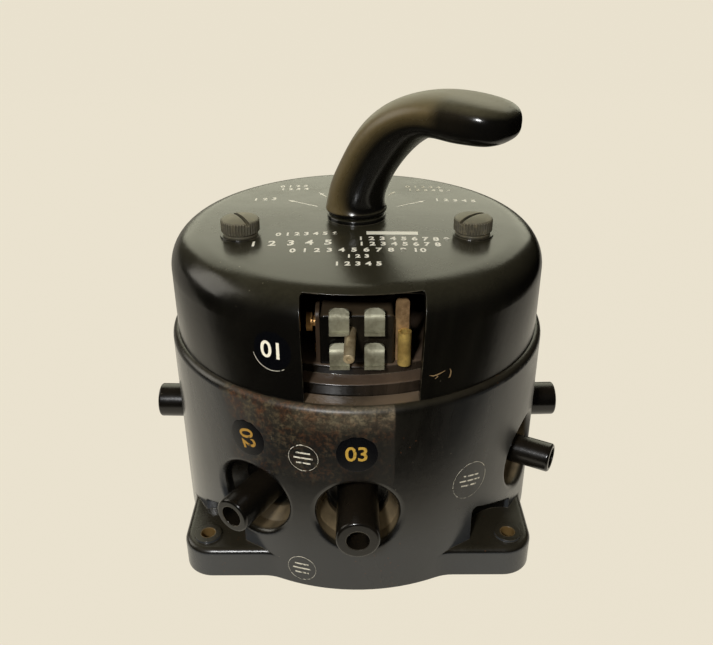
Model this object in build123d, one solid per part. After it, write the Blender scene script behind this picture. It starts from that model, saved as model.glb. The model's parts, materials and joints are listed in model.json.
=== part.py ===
"""A wall or bench mounted aerial selector switch in black moulded bakelite.

A round base on a square four-hole flange carries five sleeved aerial sockets. A deep round cover
with a front inspection window stands on it, held by two knurled thumbscrews. A crank handle on top
turns a spindle through five positions; below the deck the spindle carries the selector blade, which
passes through five fixed contact clips.

Frame: +Z up, the spindle is the Z axis, Z = 0 is the mounting face, -Y is the front (window side).
Azimuths are in degrees from the front, positive towards +X.
"""
from build123d import *
from math import asin, cos, degrees, hypot, radians, sin
import os

os.makedirs("parts", exist_ok=True)

# Clearances
fit_gap = 0.02            # radial gap of a fixed fit
run_gap = 0.05            # radial gap of a turning fit
clear_gap = 0.3           # gap between pieces that only pass each other

# Base moulding
base_r = 78.5
base_wall = 5.0
base_rim_fillet = 3.0
parting_z = 85.0          # top of the base, lower edge of the cover
flange_half = 70.6
flange_t = 13.0
flange_corner_r = 12.0
flange_edge_fillet = 2.5
flange_blend_r = 18.0     # where the flange runs into the barrel
hole_spacing = 122.0      # fixing holes, square pattern
hole_r = 2.8
hole_ring_r = 5.4
hole_ring_rise = 1.0
pocket_r = 16.0           # driver clearance above each fixing hole
pocket_top_z = 27.5       # roof of the clearance, straight above the hole
pocket_fall = 30.0        # the roof falls towards the sides, degrees
pocket_top_fillet = 2.5
pocket_wall = 3.5
pocket_ridge = 1.3        # left between a pocket and the porthole beside it
plate_rim = 8.5           # base wall round the bottom plate's recess
plate_recess_t = 5.0
plate_ledge_w = 8.0
plate_ledge_t = 4.0
deck_ledge_w = 5.2
deck_ledge_t = 4.0

# Bottom plate
plate_t = 4.0
plate_gap = 0.3
plate_screw_r = 1.6
plate_screw_head_r = 3.2
plate_screw_len = 7.0

# Sockets, one value for each: left, left front, front, right front, right
socket_names = ["left", "left_front", "front", "right_front", "right"]
socket_az = [-92.0, -31.5, 0.0, 62.0, 92.0]
socket_tube_r = [7.6, 7.1, 8.1, 6.0, 7.5]
socket_z = 37.0
socket_reach = 12.5       # how far a tube stands out of the base
socket_bore_r = 4.3
socket_bore_depth = 10.0
socket_lip = 1.0          # rounded end of a tube
cup_mouth_r = 15.5
cup_lip = 2.2             # rounded lip of the porthole
cup_inner_r = 12.0
cup_depth = 18.5          # porthole's floor behind the outer wall
cup_floor_t = 4.0
cup_cone_from = 12.5
cup_cone_to = 7.0
cup_wall = 2.5
socket_tail_r = 5.0
socket_tail_len = 9.0     # tube tail behind the cup's floor face
socket_core_r = 2.9       # brass contact
socket_core_bore_r = 1.6
socket_core_bore_depth = 12.0
socket_core_tail = 3.0    # contact tail past the tube's tail
socket_nut_r = 8.5
socket_nut_t = 2.6

# Deck
deck_cover_gap = 2.3      # deck's rim to the cover's inner wall
deck_step_z = 89.5        # top of the deck's rim
deck_top_z = 93.2         # top of its raised platform
deck_rim_w = 6.9
deck_platform_fillet = 1.2
deck_plate_t = 5.0
deck_platform_wall = 3.3
deck_screw_inset = 3.4    # from the deck's rim
deck_screw_az = [45.0, 135.0, 225.0, 315.0]
deck_screw_r = 1.5
deck_screw_head_r = 2.9
deck_screw_head_t = 1.8
deck_screw_len = 13.0

# Cover
cover_setback = 2.5       # behind the base's outer wall
cover_wall = 4.5
cover_edge_z = 126.2      # plane where the shoulder meets the top
cover_top_t = 5.0
cover_shoulder_r = 14.0
cover_dome = 1.7
collar_r = 12.0           # raised collar round the spindle
collar_top_z = 129.6
boss_depth = 9.0          # boss under the top, for the upper bush
window_left = -18.7
window_right = 21.9
window_flare_left = 0.8   # how much wider the window is at its top
window_flare_right = 1.5
window_top_z = 124.4
window_corner_r = 1.3
pad_r = 8.0               # flat pad under each thumbscrew
pad_rise = 0.03           # above the dome beside it

# Thumbscrews
screw_az = 68.5
screw_at = 48.6           # from the axis
screw_turn = [-58.0, 42.5]  # where the slots of the left and right screw point
screw_head_r = 7.5
screw_head_t = 5.2        # height of its knurled side
screw_crown = 1.0         # rise of its domed top
screw_neck_r = 6.6
screw_neck_t = 0.5
screw_shank_r = 2.5
screw_shank_len = 18.0
screw_slot_w = 1.6
screw_slot_depth = 2.2
screw_washer_r = 6.8
screw_washer_t = 0.6
screw_hole_r = 2.9
screw_edge = 0.6          # bevels of the knurled side
knurl_count = 40
knurl_depth = 0.35
pillar_r = 5.0
pillar_bore_depth = 17.0
pillar_spigot_r = 3.0
pillar_spigot_len = 4.0

# Spindle and bushes
spindle_r = 5.0
spindle_top_z = 147.0
spindle_foot_z = 66.0
bush_r = 8.0
lower_bush_flange_r = 10.5
lower_bush_flange_t = 1.4
lower_bush_drop = 2.0     # below the deck plate
washer_r = 10.0
washer_t = 0.6
circlip_r = 7.6
circlip_t = 1.0
circlip_groove = 0.8

# Handle
grip_az = 55.0            # where the grip points at the stored position
position_pitch = 27.5
position_count = 5
hub_foot_r = 11.6
hub_flare_r = 12.6        # rim of the foot
hub_rise = 1.6            # from the washer to the rim
# spine stations: distance out, height, half width, half thickness, roundness
handle_stations = [
    (0.0, 134.4, 11.8, 11.8, 2.0),
    (0.6, 138.5, 11.1, 11.1, 2.1),
    (3.6, 146.0, 11.0, 10.3, 2.2),
    (8.6, 154.7, 11.4, 10.0, 2.3),
    (15.6, 163.4, 12.2, 9.8, 2.3),
    (24.5, 170.1, 13.2, 8.9, 2.4),
    (36.0, 174.0, 14.2, 7.9, 2.7),
    (47.0, 174.0, 14.5, 8.0, 3.0),
    (54.5, 173.6, 14.1, 7.5, 3.2),
    (60.0, 173.2, 12.6, 6.8, 3.2),
    (63.2, 173.1, 10.4, 5.8, 3.0),
    (65.3, 173.1, 7.4, 4.2, 2.8),
    (66.2, 173.1, 3.8, 2.2, 2.4),
]
section_points = 20
pointer_t = 10.0          # rib opposite the grip, pointing at the position mark
# outline of the rib above the foot's rim: distance behind the axis, height
pointer_profile = [(12.2, 134.5), (11.2, 140.0), (9.9, 146.0), (8.2, 149.6), (5.8, 151.6), (3.0, 152.2)]
pointer_edge_r = 3.0
handle_pin_r = 1.5
handle_pin_z = 141.5
handle_pin_len = 18.0
handle_pin_blind = 3.0    # how far the pin goes on past the spindle

# Rotor below the deck
rotor_disc_r = 26.0
rotor_disc_t = 3.8
rotor_boss_r = 9.0
rotor_boss_len = 4.0
rotor_pin_r = 1.2
blade_z = 75.3            # underside of the selector blade
blade_t = 1.4
blade_w = 8.0
blade_root_r = 16.0
blade_tip_gap = 2.0       # from the blade's tip to the clips' webs
ring_r = 16.0
ring_t = 1.5
ring_gap = 2.5            # slip ring and blade to the spindle
rivet_r = 1.4
rivet_at = 12.5
rivet_head_r = 2.3
rivet_head_t = 0.7

# Fixed contacts
clip_w = 9.0
clip_t = 1.0
clip_web_inset = 13.0     # clips' webs inside the deck's hollow
clip_jaw_len = 10.0
clip_foot_len = 10.0
clip_gap = 0.3            # jaw to blade
clip_screw_r = 1.3
clip_screw_head_r = 2.2
clip_screw_head_t = 1.2
clip_screw_len = 3.4      # thread in the deck
lead_r = 1.0
lead_past_web = 7.5       # where a lead meets its clip's foot
lead_cross_z = 60.0
lead_bend_r = 4.0
wiper_w = 5.0
wiper_t = 0.8
wiper_tip = 12.0          # from the axis
wiper_shoe = 3.0          # flat end of the wiper on each side of its tip
wiper_foot_len = 12.0

# Index plate above the deck
index_r = 22.0
index_t = 3.0
index_z = 97.0
index_hub_r = 9.0
index_hub_t = 4.5
notch_depth = 2.4
notch_half_w = 3.6
stop_lug_half_w = 4.0
stop_lug_len = 8.0        # beyond the index plate's rim
stop_pin_r = 2.0
stop_pin_past = 5.0       # from the index plate's rim to the pins
stop_pin_rise = 8.8       # above the deck
stop_gap = 0.3
pin_spigot = 3.0
detent_stand = 3.0        # from the index plate's rim to the leaf's inner face
detent_flank = 4.4        # half length of its nose
detent_t = 0.8
detent_h = 4.5
detent_left = -30.0
detent_right = 11.0
detent_nose_gap = 0.35
detent_screw_r = 0.9
detent_screw_head_r = 1.6
detent_screw_head_t = 0.9
detent_screw_len = 4.8
detent_screw_pitch = 4.0
post_w = 8.0
post_d = 6.0
post_rise = 9.0

# Window contacts
block_left = -13.4
block_right = 13.3
block_inset = 1.8         # behind the deck's platform edge
block_depth = 13.8
block_top_z = 112.9
block_fillet = 1.0
leaf_w = 7.1
leaf_t = 1.1
leaf_x = [-6.3, 6.1]      # centres of the two columns
leaf_stand = 4.0          # face in front of the block
leaf_upper_z = [107.2, 116.6]
leaf_lower_z = [93.6, 102.7]
leaf_lip = 1.2
leaf_bend_r = 3.0
leaf_crown_r = 5.2        # rounding of the leaf's top
leaf_crown = 3.0          # height of the part that leans back
leaf_stub_w = 4.0
leaf_stub_h = 2.6
test_pin_x = -2.9         # at its front end
test_pin_root_x = -2.3
test_pin_r = 2.0
test_pin_reach = 14.9     # beyond the block's face
test_pin_grip = 4.8       # held in the block
test_pin_end_z = 103.4
test_pin_root_z = 106.4
test_pin_dimple_r = 0.8
test_pin_dimple = 0.5
strip_x = 16.1
strip_w = 4.9
strip_t = 1.0
strip_inset = 3.5         # behind the block's face
strip_foot = 6.0
strip_corner_r = 1.5
strip_top_z = 118.0
sleeve_shift = 0.8        # to the right of the strip's middle
sleeve_r = 2.45
sleeve_bore_r = 1.7
sleeve_floor_t = 1.5
sleeve_top_z = 106.4
cheek_t = 1.4
cheek_top_z = 114.0
cheek_inset = 1.0         # behind the block's face
cheek_w = 10.0
cheek_corner_r = 3.0
cheek_screw_r = 1.2
cheek_screw_head_r = 1.7
cheek_screw_head_t = 0.8
cheek_screw_inset = 2.4   # from the plate's back edge
cheek_screw_z = [95.2, 107.8]
terminal_screw_r = 1.8
terminal_screw_head_r = 3.5
terminal_screw_head_t = 2.1
terminal_screw_stand = 1.2
terminal_screw_inset = 3.6  # from the cheek plate's front edge
terminal_screw_z = 108.2

# Worked out: sizes that follow the base's radius inwards
socket_gaps = [b - a for a, b in zip(socket_az, socket_az[1:])]
cover_r = base_r - cover_setback
deck_r = cover_r - cover_wall - deck_cover_gap
deck_platform_r = deck_r - deck_rim_w
deck_hollow_r = deck_platform_r - deck_platform_wall
deck_screw_at = deck_r - deck_screw_inset
deck_ledge_r = deck_r - deck_ledge_w
plate_recess_r = base_r - plate_rim
plate_ledge_r = plate_recess_r - plate_ledge_w
cup_ridge = min(2 * base_r * sin(radians(gap / 2)) - 2 * cup_mouth_r for gap in socket_gaps)
cup_lip_r = min(cup_lip, cup_ridge / 3)
cup_floor = base_r - cup_depth
cup_cone_start = base_r - cup_cone_from
cup_cone_end = base_r - cup_cone_to
socket_end = base_r + socket_reach
clip_web_r = deck_hollow_r - clip_web_inset
blade_reach = clip_web_r - blade_tip_gap
lead_at = clip_web_r + lead_past_web
wiper_foot = clip_web_r - wiper_foot_len
block_front = deck_platform_r - block_inset
block_back = block_front - block_depth
strip_y = block_front - strip_inset
test_pin_end = block_front + test_pin_reach
cheek_front = block_front - cheek_inset
cheek_back = cheek_front - cheek_w
cheek_screw_y = cheek_back + cheek_screw_inset
terminal_screw_y = cheek_front - terminal_screw_inset

# Worked out: the rest
screw_sides = [-screw_az, screw_az]
through = 2 * base_r      # long enough to cut through any piece
cover_inner_z = cover_edge_z - cover_top_t
dome_r = cover_r - cover_shoulder_r
pad_top_z = cover_edge_z + cover_dome * (1 - ((screw_at - pad_r) / dome_r) ** 2) + pad_rise
deck_plate_z = deck_top_z - deck_plate_t
deck_seat_z = parting_z - deck_ledge_t
blade_top_z = blade_z + blade_t
travel = position_pitch * (position_count - 1)
pointer_az = grip_az - 180.0
hub_bottom_z = collar_top_z + washer_t
hub_rim_z = hub_bottom_z + hub_rise
clip_screw_at = clip_web_r + clip_t + clip_screw_head_r + clear_gap
wiper_screw_at = wiper_foot + wiper_foot_len / 3
sleeve_y = strip_y + strip_t + sleeve_r + fit_gap
stop_lug_r = index_r + stop_lug_len
stop_pin_at = index_r + stop_pin_past
stop_pin_top_z = deck_top_z + stop_pin_rise
detent_y = index_r + detent_stand
detent_az = 180.0


def polar(az, out, z=0.0):
    """A point at an azimuth and a distance from the spindle axis."""
    return (out * sin(radians(az)), -out * cos(radians(az)), z)


def upright(az, out, z=0.0):
    """A plane whose X runs outwards and whose Z is up."""
    return Plane(origin=polar(az, out, z), x_dir=polar(az, 1.0), z_dir=(0, 0, 1))


def outward(az, out, z=0.0):
    """A plane whose Z runs outwards, with its Y up."""
    return Plane(origin=polar(az, out, z), x_dir=polar(az + 90.0, 1.0), z_dir=polar(az, 1.0))


def sideways(az):
    """The upright half plane at an azimuth: X outwards, Y up."""
    side = polar(az + 90.0, 1.0)
    return Plane(origin=(0, 0, 0), x_dir=polar(az, 1.0), z_dir=(-side[0], -side[1], 0))


def rod(radius, low, high):
    """A round bar along Z between two heights."""
    return Pos(0, 0, low) * Cylinder(radius, high - low, align=(Align.CENTER, Align.CENTER, Align.MIN))


def slab(x0, x1, y0, y1, z0, z1):
    """A box from its corners."""
    return Pos((x0 + x1) / 2, (y0 + y1) / 2, (z0 + z1) / 2) * Box(x1 - x0, y1 - y0, z1 - z0)


def turned(points):
    """A solid turned about Z from a closed outline of (radius, height)."""
    return revolve(Plane.XZ * make_face(Polyline(*points, close=True)), Axis.Z)


def dome_z(out):
    """Height of the cover's top surface at a distance from the axis."""
    return cover_edge_z + cover_dome * (1.0 - (out / dome_r) ** 2)


def hole_corners():
    """Centres of the four fixing holes."""
    half = hole_spacing / 2
    return [(x, y) for x in (-half, half) for y in (-half, half)]


def cup_profile():
    """Outline of a porthole's hollow, (radius, distance from the axis)."""
    far = 2 * base_r
    return [(0, cup_floor), (cup_inner_r, cup_floor), (cup_inner_r, cup_cone_start),
            (cup_mouth_r, cup_cone_end), (cup_mouth_r, far), (0, far)]


def base_barrel():
    """The turned outer form of the base, with its rounded rim."""
    centre_r = base_r - base_rim_fillet
    centre_z = parting_z - base_rim_fillet
    k = base_rim_fillet * sin(radians(45))
    lines = [
        Polyline((centre_r, parting_z), (0, parting_z), (0, 0), (base_r, 0), (base_r, centre_z)),
        ThreePointArc((base_r, centre_z), (centre_r + k, centre_z + k), (centre_r, parting_z)),
    ]
    return revolve(Plane.XZ * make_face(Wire(Curve(children=lines).edges())), Axis.Z)


def base_housing():
    """The base moulding: barrel, square flange, portholes and the seats for the deck and bottom plate."""
    body = base_barrel() + base_flange()
    for x, y in hole_corners():
        body = body + Pos(x, y, 0) * rod(hole_ring_r, flange_t - 1.0, flange_t + hole_ring_rise)
    for x, y in hole_corners():
        body = body - driver_pocket(x, y)
    hollow = rod(base_r - base_wall, plate_recess_t + plate_ledge_t, deck_seat_z - deck_ledge_t)
    for x, y in hole_corners():
        hollow = hollow - Pos(x, y, 0) * rod(pocket_r + pocket_wall, 0, pocket_top_z + pocket_wall)
    for az in socket_az:
        hollow = hollow - outward(az, cup_floor - cup_floor_t, socket_z) * rod(
            cup_mouth_r + cup_wall, 0, base_r - cup_floor)
    body = body - hollow
    body = body - rod(plate_recess_r, 0, plate_recess_t)
    body = body - rod(plate_ledge_r, 0, plate_recess_t + plate_ledge_t)
    body = body - rod(deck_ledge_r, deck_seat_z - deck_ledge_t, parting_z)
    body = body - rod(deck_r + clear_gap, deck_seat_z, parting_z)
    for az in socket_az:
        cup = outward(az, 0, socket_z) * turned(cup_profile())
        body = body - cup
        body = body - outward(az, cup_floor - cup_floor_t - 1.0, socket_z) * rod(
            socket_tail_r + fit_gap, 0, cup_floor_t + 2.0)
    for x, y in hole_corners():
        body = body - Pos(x, y, 0) * rod(hole_r, -1.0, flange_t + hole_ring_rise + 1.0)
    for az in plate_screw_places():
        body = body - Pos(*polar(az, plate_screw_at())) * rod(
            plate_screw_r + fit_gap, 0, plate_recess_t - plate_t + plate_screw_len)
    for az in deck_screw_az:
        body = body - Pos(*polar(az, deck_screw_at)) * rod(
            deck_screw_r + fit_gap, deck_seat_z - deck_ledge_t - 1.0, parting_z)
    lips = [e for e in body.edges() if is_cup_lip(e)]
    return fillet(lips, cup_lip_r)


def base_flange():
    """The square flange, its sides blended into the barrel in plan."""
    plan = RectangleRounded(2 * flange_half, 2 * flange_half, flange_corner_r) + Circle(base_r)
    # growing and shrinking the plan rounds its inner corners and leaves the rest as it was
    plan = offset(offset(plan, flange_blend_r), -flange_blend_r)
    flange = extrude(plan, flange_t)
    return fillet(flange.edges().group_by(Axis.Z)[-1], flange_edge_fillet)


def driver_pocket(x, y):
    """Room above a fixing hole under a sloping roof, kept clear of the porthole beside it."""
    tilt = pocket_fall if y > 0 else -pocket_fall
    above = slab(-2 * pocket_r, 2 * pocket_r, -2 * pocket_r, 2 * pocket_r, 0, 2 * pocket_r)
    pocket = rod(pocket_r, flange_t, pocket_top_z + pocket_r)
    pocket = pocket - Pos(0, 0, pocket_top_z) * Rot(tilt, 0, 0) * above
    pocket = fillet(pocket.edges().group_by(Axis.Z)[-1], pocket_top_fillet)
    pocket = Pos(x, y, 0) * (pocket - rod(hole_ring_r, flange_t - 1.0, flange_t + hole_ring_rise))
    for az in socket_az:
        keep = rod(cup_mouth_r + cup_lip_r + pocket_ridge, cup_floor, 2 * base_r)
        pocket = pocket - outward(az, 0, socket_z) * keep
    return pocket


def is_cup_lip(edge):
    """True for an edge where a porthole breaks the outer wall."""
    return all(on_cup_lip(edge @ share) for share in (0.2, 0.7))


def on_cup_lip(point):
    on_wall = abs(hypot(point.X, point.Y) - base_r) < fit_gap
    from_axes = [hypot(point.dot(Vector(*polar(az + 90, 1.0))), point.Z - socket_z) for az in socket_az]
    return on_wall and any(abs(away - cup_mouth_r) < fit_gap for away in from_axes)


def plate_screw_at():
    """Distance of the bottom plate's screws from the axis."""
    return (plate_recess_r + plate_ledge_r) / 2


def plate_screw_places():
    return [30.0, 150.0, 210.0, 330.0]


def bottom_plate():
    low = plate_recess_t - plate_t
    plate = rod(plate_recess_r - plate_gap, low, plate_recess_t)
    for az in plate_screw_places():
        place = Pos(*polar(az, plate_screw_at()))
        plate = plate - place * rod(plate_screw_r + fit_gap, 0, plate_recess_t + 1.0)
        plate = plate - place * turned(countersink(low))
    return plate


def countersink(low):
    """Outline of a countersunk head with its face at a height."""
    depth = plate_screw_head_r - plate_screw_r
    return [(0, low), (plate_screw_head_r, low), (plate_screw_r + fit_gap, low + depth), (0, low + depth)]


def bottom_plate_screws():
    low = plate_recess_t - plate_t
    depth = plate_screw_head_r - plate_screw_r
    one = turned([(0, low), (plate_screw_head_r - fit_gap, low), (plate_screw_r, low + depth),
                  (plate_screw_r, low + plate_screw_len), (0, low + plate_screw_len)])
    one = one - slab(-5, 5, -0.4, 0.4, low - 1, low + 0.8)
    return [Pos(*polar(az, plate_screw_at())) * Rot(0, 0, az) * one for az in plate_screw_places()]


def contact_deck():
    deck = rod(deck_r, deck_seat_z, deck_step_z)
    platform = rod(deck_platform_r, deck_step_z, deck_top_z)
    platform = fillet(platform.edges().group_by(Axis.Z)[-1], deck_platform_fillet)
    deck = fillet(deck.edges().group_by(Axis.Z)[-1], deck_platform_fillet / 2) + platform
    deck = deck - rod(deck_hollow_r, deck_seat_z, deck_plate_z)
    deck = deck - rod(bush_r + fit_gap, deck_plate_z - 1, deck_top_z + 1)
    for az in deck_screw_az:
        deck = deck - Pos(*polar(az, deck_screw_at)) * rod(
            deck_screw_r + fit_gap, deck_seat_z - 1, deck_step_z + 1)
    for side in screw_sides:
        deck = deck - Pos(*polar(side, screw_at)) * rod(
            pillar_spigot_r + fit_gap, deck_top_z - pillar_spigot_len, deck_top_z + 1)
    for az in stop_pin_places():
        deck = deck - Pos(*polar(az, stop_pin_at)) * rod(
            stop_pin_r + fit_gap, deck_top_z - pin_spigot, deck_top_z + 1)
    for az, at in clip_screw_places():
        deck = deck - Pos(*polar(az, at)) * rod(
            clip_screw_r + fit_gap, deck_plate_z - 1, deck_plate_z + clip_screw_len + clear_gap)
    return deck


def deck_screws():
    one = rod(deck_screw_head_r, deck_step_z, deck_step_z + deck_screw_head_t)
    one = fillet(one.edges().group_by(Axis.Z)[-1], 0.5)
    one = one + rod(deck_screw_r, deck_step_z - deck_screw_len + 1.0, deck_step_z + 0.5)
    top = deck_step_z + deck_screw_head_t
    one = one - slab(-5, 5, -0.35, 0.35, top - 0.8, top + 1)
    return [Pos(*polar(az, deck_screw_at)) * Rot(0, 0, az) * one for az in deck_screw_az]


def cover_shell():
    """The turned shell of the cover, with its domed top and raised collar."""
    k = sin(radians(45))
    mid_r = dome_r + cover_shoulder_r * k
    mid_z = cover_edge_z - cover_shoulder_r + cover_shoulder_r * k
    inner_r = cover_r - cover_wall
    inner_shoulder = cover_shoulder_r - cover_wall
    outline = Polyline((0, cover_inner_z), (0, dome_z(0)))
    lines = [
        outline,
        ThreePointArc((0, dome_z(0)), (dome_r / 2, dome_z(dome_r / 2)), (dome_r, cover_edge_z)),
        ThreePointArc((dome_r, cover_edge_z), (mid_r, mid_z), (cover_r, cover_edge_z - cover_shoulder_r)),
        Line((cover_r, cover_edge_z - cover_shoulder_r), (cover_r, parting_z)),
        Line((cover_r, parting_z), (inner_r, parting_z)),
        Line((inner_r, parting_z), (inner_r, cover_inner_z - inner_shoulder)),
        ThreePointArc((inner_r, cover_inner_z - inner_shoulder),
                      (inner_r - inner_shoulder * (1 - k), cover_inner_z - inner_shoulder * (1 - k)),
                      (inner_r - inner_shoulder, cover_inner_z)),
        Line((inner_r - inner_shoulder, cover_inner_z), (0, cover_inner_z)),
    ]
    return revolve(Plane.XZ * make_face(Wire(Curve(children=lines).edges())), Axis.Z)


def cover():
    shell = cover_shell()
    collar = rod(collar_r, cover_inner_z - boss_depth, collar_top_z)
    collar = fillet(collar.edges().group_by(Axis.Z)[-1], 0.8)
    shell = shell + collar
    for side in screw_sides:
        shell = shell + Pos(*polar(side, screw_at)) * rod(pad_r, cover_inner_z + 1.0, pad_top_z)
    shell = shell - rod(bush_r + fit_gap, cover_inner_z - boss_depth - 1.0, collar_top_z + 1.0)
    for side in screw_sides:
        shell = shell - Pos(*polar(side, screw_at)) * rod(screw_hole_r, cover_inner_z - 1.0, pad_top_z + 1.0)
    return shell - window_opening()


def window_opening():
    """The front window's hollow: open at its foot, a little wider at its top."""
    low = parting_z - flange_t
    outline = Polyline((window_left, low), (window_left, parting_z),
                       (window_left - window_flare_left, window_top_z),
                       (window_right + window_flare_right, window_top_z),
                       (window_right, parting_z), (window_right, low), close=True)
    face = make_face(outline)
    face = fillet(face.vertices().group_by(Axis.Y)[-1], window_corner_r)
    return extrude(Plane.XZ.offset(block_front) * face, base_r - block_front)


def cover_pillars():
    top = cover_inner_z - clear_gap
    one = rod(pillar_r, deck_top_z, top)
    one = one + rod(pillar_spigot_r, deck_top_z - pillar_spigot_len, deck_top_z + 1)
    one = one - rod(screw_shank_r + run_gap, top - pillar_bore_depth, top + 1)
    return [Pos(*polar(side, screw_at)) * one for side in screw_sides]


def thumbscrew(index):
    """A knurled, slotted screw with a domed top; index 0 is the left one."""
    low = pad_top_z + screw_washer_t
    head_low = low + screw_neck_t
    edge_z = head_low + screw_head_t
    half = screw_head_r / 2
    outline = [
        Polyline((0, edge_z + screw_crown), (0, head_low), (screw_head_r - screw_edge, head_low),
                 (screw_head_r, head_low + screw_edge), (screw_head_r, edge_z - screw_edge),
                 (screw_head_r - screw_edge, edge_z)),
        ThreePointArc((screw_head_r - screw_edge, edge_z), (half, edge_z + screw_crown * 0.75),
                      (0, edge_z + screw_crown)),
    ]
    head = revolve(Plane.XZ * make_face(Wire(Curve(children=outline).edges())), Axis.Z)
    tooth = Pos(screw_head_r, 0, 0) * Rot(0, 0, 45) * slab(
        -knurl_depth, knurl_depth, -knurl_depth, knurl_depth, head_low - 1, edge_z + 1)
    teeth = [Rot(0, 0, 360.0 * i / knurl_count) * tooth for i in range(knurl_count)]
    head = head - teeth
    head = head - slab(-screw_head_r - 1, screw_head_r + 1, -screw_slot_w / 2, screw_slot_w / 2,
                       edge_z + screw_crown - screw_slot_depth, edge_z + screw_crown + 1)
    screw = head + rod(screw_neck_r, low, head_low + screw_edge)
    screw = screw + rod(screw_shank_r, low - screw_shank_len, low + screw_edge)
    return Pos(*polar(screw_sides[index], screw_at)) * Rot(0, 0, screw_turn[index]) * screw


def screw_washer(index):
    ring = rod(screw_washer_r, pad_top_z, pad_top_z + screw_washer_t)
    ring = ring - rod(screw_shank_r + run_gap, pad_top_z - 1, pad_top_z + screw_washer_t + 1)
    return Pos(*polar(screw_sides[index], screw_at)) * ring


def spindle():
    bar = rod(spindle_r, spindle_foot_z, spindle_top_z)
    bar = chamfer(bar.edges().group_by(Axis.Z)[-1], 0.6)
    groove_top = deck_plate_z - lower_bush_drop - clear_gap
    groove = rod(spindle_r + 1, groove_top - circlip_t, groove_top)
    bar = bar - (groove - rod(spindle_r - circlip_groove, 0, through))
    bar = bar - cross_hole(handle_pin_r, handle_pin_z)
    bar = bar - cross_hole(rotor_pin_r, rotor_pin_z())
    bar = bar - cross_hole(rotor_pin_r, index_pin_z())
    return bar


def cross_hole(radius, z):
    """A hole through the spindle, square to the grip's plane."""
    return outward(grip_az + 90, 0, z) * rod(radius + fit_gap, -hub_flare_r, hub_flare_r)


def cross_pin(radius, z, length):
    """A pin through the spindle, square to the grip's plane."""
    return outward(grip_az + 90, -length / 2, z) * rod(radius, 0, length)


def rotor_pin_z():
    return blade_z - rotor_disc_t - rotor_boss_len / 2


def index_pin_z():
    return index_z + index_t + (index_hub_t - index_t) / 2 + 0.9


def upper_bush():
    low = cover_inner_z - boss_depth
    return rod(bush_r, low, collar_top_z) - rod(spindle_r + run_gap, low - 1, collar_top_z + 1)


def lower_bush():
    top = deck_top_z + lower_bush_flange_t
    low = deck_plate_z - lower_bush_drop
    bush = rod(bush_r, low, top) + rod(lower_bush_flange_r, deck_top_z, top)
    return bush - rod(spindle_r + run_gap, low - 1, top + 1)


def handle_washer():
    top = collar_top_z + washer_t
    return rod(washer_r, collar_top_z, top) - rod(spindle_r + fit_gap, collar_top_z - 1, top + 1)


def spindle_circlip():
    top = deck_plate_z - lower_bush_drop - clear_gap - fit_gap
    low = top - circlip_t + 2 * fit_gap
    ring = rod(circlip_r, low, top) - rod(spindle_r - circlip_groove + fit_gap, low - 1, top + 1)
    gap = slab(-1.8, 1.8, 0, circlip_r + 1, low - 1, top + 1)
    return ring - gap


def handle_section(index):
    """One closed section of the handle's arm, square to its spine."""
    out, z, half_w, half_t, power = handle_stations[index]
    before = handle_stations[max(index - 1, 0)]
    after = handle_stations[min(index + 1, len(handle_stations) - 1)]
    run = after[0] - before[0]
    rise = after[1] - before[1]
    length = hypot(run, rise)
    ahead = polar(grip_az, run / length, rise / length)
    place = Plane(origin=polar(grip_az, out, z), x_dir=polar(grip_az + 90, 1.0), z_dir=ahead)
    return place * superellipse(half_w, half_t, power)


def superellipse(half_w, half_t, power):
    """A closed face whose outline squares up as its power rises above 2."""
    points = []
    for i in range(section_points):
        angle = radians(360.0 * i / section_points)
        c = cos(angle)
        s = sin(angle)
        x = half_w * abs(c) ** (2 / power) * (1 if c >= 0 else -1)
        y = half_t * abs(s) ** (2 / power) * (1 if s >= 0 else -1)
        points.append((x, y))
    return make_face(Spline(*points, periodic=True))


def handle():
    """The crank: a flared foot, a bent arm lofted along its spine, and the pointer rib behind it."""
    sole = upright(grip_az + 90, 0, hub_bottom_z) * superellipse(hub_foot_r, hub_foot_r, 2.0)
    rim = upright(grip_az + 90, 0, hub_rim_z) * superellipse(hub_flare_r, hub_flare_r, 2.0)
    foot = loft([sole, rim], ruled=True)
    arm = loft([rim] + [handle_section(i) for i in range(len(handle_stations))])
    outline = [(-back, z) for back, z in pointer_profile]
    outline = [(0, hub_rim_z), (-pointer_profile[0][0], hub_rim_z)] + outline + [(0, pointer_profile[-1][1])]
    rib_outline = Polyline(*outline, close=True)
    rib = extrude(sideways(grip_az) * make_face(rib_outline), pointer_t / 2, both=True)
    rib = fillet(rib_back_edges(rib), pointer_edge_r)
    grip = foot + arm + rib
    grip = grip - rod(spindle_r + fit_gap, hub_bottom_z - 1, spindle_top_z + clear_gap)
    return grip - handle_pin_hole()


def handle_pin_start():
    return -(spindle_r + handle_pin_blind)


def handle_pin_hole():
    """The handle's blind hole for its pin, drilled from the back."""
    start = handle_pin_start() - fit_gap
    return outward(grip_az + 90, start, handle_pin_z) * rod(handle_pin_r + fit_gap, 0, 2 * hub_flare_r)


def handle_pin():
    return outward(grip_az + 90, handle_pin_start(), handle_pin_z) * rod(handle_pin_r, 0, handle_pin_len)


def rib_back_edges(rib):
    """The long edges of the pointer rib that face away from the spindle."""
    back = Vector(*polar(pointer_az, 1.0))
    chosen = []
    for edge in rib.edges():
        middle = edge.center()
        along = edge.tangent_at(0.5)
        across = abs(along.dot(Vector(*polar(pointer_az + 90, 1.0)))) > 0.9
        if middle.dot(back) > 7.0 and not across and middle.Z > hub_rim_z + 0.5:
            chosen.append(edge)
    return chosen


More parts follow.
